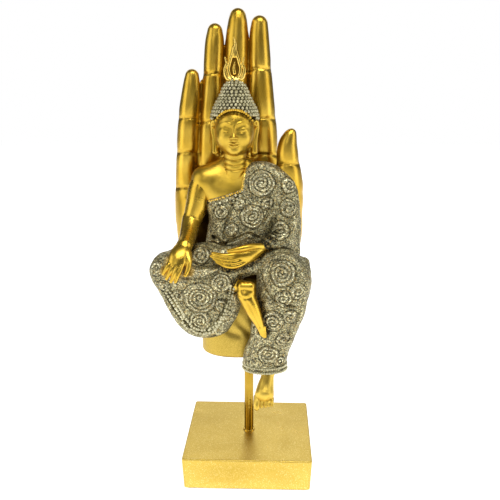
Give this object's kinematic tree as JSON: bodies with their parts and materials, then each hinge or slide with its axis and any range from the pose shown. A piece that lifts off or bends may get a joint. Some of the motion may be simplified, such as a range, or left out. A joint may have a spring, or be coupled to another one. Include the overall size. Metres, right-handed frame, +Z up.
{
  "type": "statue",
  "caption": "Gold statue of a seated Buddha resting on an open upright hand, on a thin rod and a square base",
  "frame": {"origin": "centre of the square base's underside, on the surface it stands on", "axes": "+Z up along the rod and fingers; the palm and the figure face -Y; +X is the viewer's right from the front"},
  "size_m": [0.1149, 0.0998, 0.3485],
  "materials": {
    "gold_cast": "gold metallic paint on cast polyresin, satin to gloss, worn brighter on high points",
    "robe_glitter": "silver-gold glitter paint over raised rosettes, gold rubbed on ridges",
    "hair_beads": "silver paint on bead curls with dark gaps",
    "trim_gold": "bright gold beading and braid",
    "rod_gold": "thin gold-lacquered steel rod, satin",
    "felt": "black pressed felt",
    "steel": "zinc-plated"
  },
  "bodies": {
    "root": {"base_felt": "felt", "base_block": "gold_cast", "support_rod": "rod_gold", "rod_washer": "steel", "rod_nut": "steel", "rod_foot_ring": "rod_gold", "open_hand": "gold_cast", "torso": "gold_cast", "head": "gold_cast", "hair_cap": "hair_beads", "flame_finial": "trim_gold", "right_arm": "gold_cast", "left_hand": "gold_cast", "right_foot": "gold_cast", "left_foot": "gold_cast", "upper_robe": "robe_glitter", "right_leg_robe": "robe_glitter", "left_leg_robe": "robe_glitter", "neckline_trim": "trim_gold", "left_hem_band": "trim_gold"}
  },
  "joints": []
}
